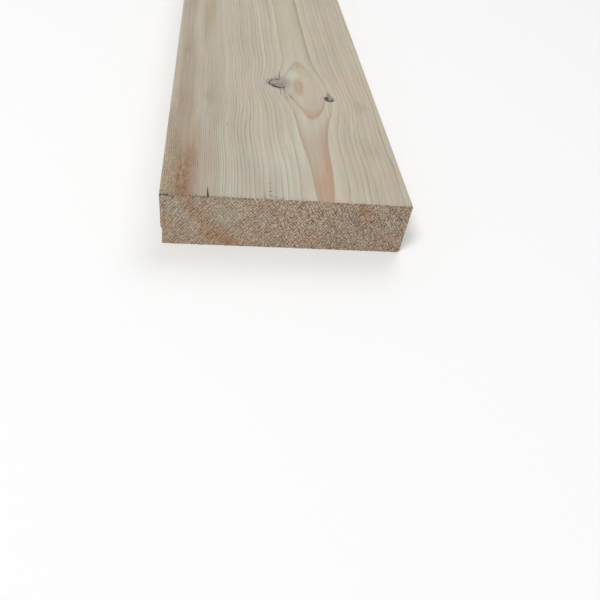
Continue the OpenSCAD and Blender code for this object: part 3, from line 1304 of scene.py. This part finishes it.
# patches: greyer and warmer, the warm ones grainy
end_wood = g.mix(1.0, end_wood, tint, "MULTIPLY")
# painted highlights: pale flecks on the tips of the torn fibre
tip_highlight = g.step(g.noise(at(0.36, 9.0, 0.36, 151.0), 0.0), 0.70, 0.80, 0.0, 0.75)
end_wood = g.mix(tip_highlight, end_wood, srgb(226, 211, 188))
# painted shade: small dark pits in the end grain, also dented in by the bump below
pit_and_shade = g.step(g.noise(at(0.36, 9.0, 0.36, 171.0), 0.0), 0.70, 0.80, 0.0, 0.60)
end_wood = g.mix(pit_and_shade, end_wood, srgb(70, 54, 42))


# pale scores that single saw teeth left on the near end
def score(x0, d0, x1, d1, half):
    slope = (x1 - x0) / (d1 - d0)
    off = g.math("ABSOLUTE", g.sub(px, g.mad(pd, slope, x0 - slope * d0)))
    lo, hi = min(d0, d1), max(d0, d1)
    ends = g.mul(g.step(pd, lo - 0.5, lo + 1.2), g.step(pd, hi + 0.5, hi - 1.2))
    return g.mul(g.step(off, half, half * 0.3), ends)


near_half = g.step(py, 900.0, 800.0)
scores = score(15.5, 34.5, 24.5, 26.5, 0.55)
for spec in ((21.0, 30.0, 30.5, 20.0, 0.5), (41.0, 26.5, 51.5, 16.5, 0.55), (6.0, 22.0, 16.0, 10.0, 0.45)):
    scores = g.math("MAXIMUM", scores, score(*spec))
end_wood = g.mix(g.mul(g.mul(scores, near_half), g.mad(grit, 1.0, 0.0)), end_wood, srgb(206, 190, 168))
# a broken dark line where the saw came out along the upper edge: dark torn fibre, with painted shade in the gap
# under the torn edge
torn_edge_and_shade = g.noise(at(1.0, 9.0, 1.0, 181.0), 1.0, 0.6)
torn_edge_and_shade = g.math(
    "MAXIMUM",
    g.mul(g.step(torn_edge_and_shade, 0.48, 0.62), g.step(px, 20.0, 35.0, 0.70, 0.45)),
    g.step(px, 6.0, 4.5, 0.0, 0.85),
)
torn_edge_and_shade = g.mul(g.mul(torn_edge_and_shade, near_half), g.step(pd, 1.7, 0.5))
end_wood = g.mix(torn_edge_and_shade, end_wood, srgb(84, 69, 57))
colour = g.mix(g.math("MAXIMUM", end, g.mul(chip, 0.85)), wood, end_wood)
# painted shade: the drying check is filled with near-black where shade falls in it
colour = g.mix(g.math("MINIMUM", g.mul(check_shade, 0.95), 1.0), colour, srgb(44, 32, 23))
nt.links.new(colour, bsdf.inputs["Base Color"])

# --- surface ---
gloss = g.add(
    g.mad(soft_w, -0.06, 0.60), centred(g.noise(at(1.2, 30.0, 1.2, 191.0), 1.0), 0.05)
)
gloss = g.add(gloss, g.mul(torn_m, 0.15))
rough_all = g.mad(end, 0.30, gloss)
nt.links.new(rough_all, bsdf.inputs["Roughness"])
bsdf.inputs["Specular IOR Level"].default_value = 0.32

ripple = g.math("SINE", g.mul(g.add(py, centred(g.noise(at(60, 400, 60)), 0.6)), 2 * math.pi / 3.1))
fine = g.add(
    g.mul(soft_w, 0.35),
    g.add(
        g.mul(g.noise(at(0.32, 14.0, 0.32, 9.0), 1.0), 0.45),
        g.mul(ripple, 0.06),
    ),
)
fine = g.add(fine, g.mul(torn_m, g.mul(flake, 2.4)))
fine = g.sub(fine, g.mul(rim_black_and_shade, 1.5))
fine = g.sub(fine, g.mul(hairs, 2.5))
grainy = g.add(g.mul(grit, 2.0), g.add(g.mul(hatch, 1.2), g.mul(pit_and_shade, -1.6)))
height = g.add(g.mul(planed, fine), g.mul(end, grainy))
bump = g.node("ShaderNodeBump")
bump.inputs["Strength"].default_value = 1.0
bump.inputs["Distance"].default_value = 0.00007
nt.links.new(height, bump.inputs["Height"])
nt.links.new(bump.outputs[0], bsdf.inputs["Normal"])

mesh.materials.append(mat)
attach(board, "root")
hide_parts("plank")

# ---------------------------------------------------------------- floor, light and camera

floor_mesh = bpy.data.meshes.new("floor")
s = 14.0
floor_mesh.from_pydata(
    [(-s, -s, 0), (s, -s, 0), (s, s, 0), (-s, s, 0)], [], [(0, 1, 2, 3)]
)
floor = bpy.data.objects.new("floor", floor_mesh)
bpy.context.scene.collection.objects.link(floor)
fmat = bpy.data.materials.new("floor")
fmat.use_nodes = True
fb = fmat.node_tree.nodes["Principled BSDF"]
fb.inputs["Base Color"].default_value = (0.99, 0.99, 0.99, 1)
fb.inputs["Roughness"].default_value = 0.9
fb.inputs["Specular IOR Level"].default_value = 0.1
floor_mesh.materials.append(fmat)

world = bpy.data.worlds.new("studio")
world.use_nodes = True
bg = world.node_tree.nodes["Background"]
bg.inputs[0].default_value = (1.0, 1.0, 1.0, 1)
bg.inputs[1].default_value = 0.42
bpy.context.scene.world = world


def area(name, where, target, size, power):
    lamp = bpy.data.lights.new(name, "AREA")
    lamp.shape = "DISK"
    lamp.size = size
    lamp.energy = power
    o = bpy.data.objects.new(name, lamp)
    bpy.context.scene.collection.objects.link(o)
    o.location = where
    way = Matrix.Identity(3)
    from mathutils import Vector

    way = (Vector(target) - Vector(where)).to_track_quat("-Z", "Y")
    o.rotation_mode = "QUATERNION"
    o.rotation_quaternion = way
    return o


area("key", (-1.25, -2.2, 3.0), (0.0, -0.8, 0.0), 1.3, 58.0)
area("fill", (0.9, 0.9, 2.6), (0.0, -0.6, 0.0), 2.0, 24.0)

cam_data = bpy.data.cameras.new("camera")
cam_data.sensor_width = 36.0
cam_data.lens = 34.242
cam_data.clip_start, cam_data.clip_end = 0.01, 100.0
cam = bpy.data.objects.new("camera", cam_data)
bpy.context.scene.collection.objects.link(cam)
cam.matrix_world = Matrix(
    (
        (0.98720211, -0.02455768, -0.15757196, -0.04410995),
        (-0.09054069, 0.72707611, -0.68056059, -1.2593163),
        (0.1312798, 0.68611752, 0.7155476, 0.22741365),
        (0.0, 0.0, 0.0, 1.0),
    )
)
bpy.context.scene.camera = cam
bpy.context.scene.view_settings.view_transform = "Standard"
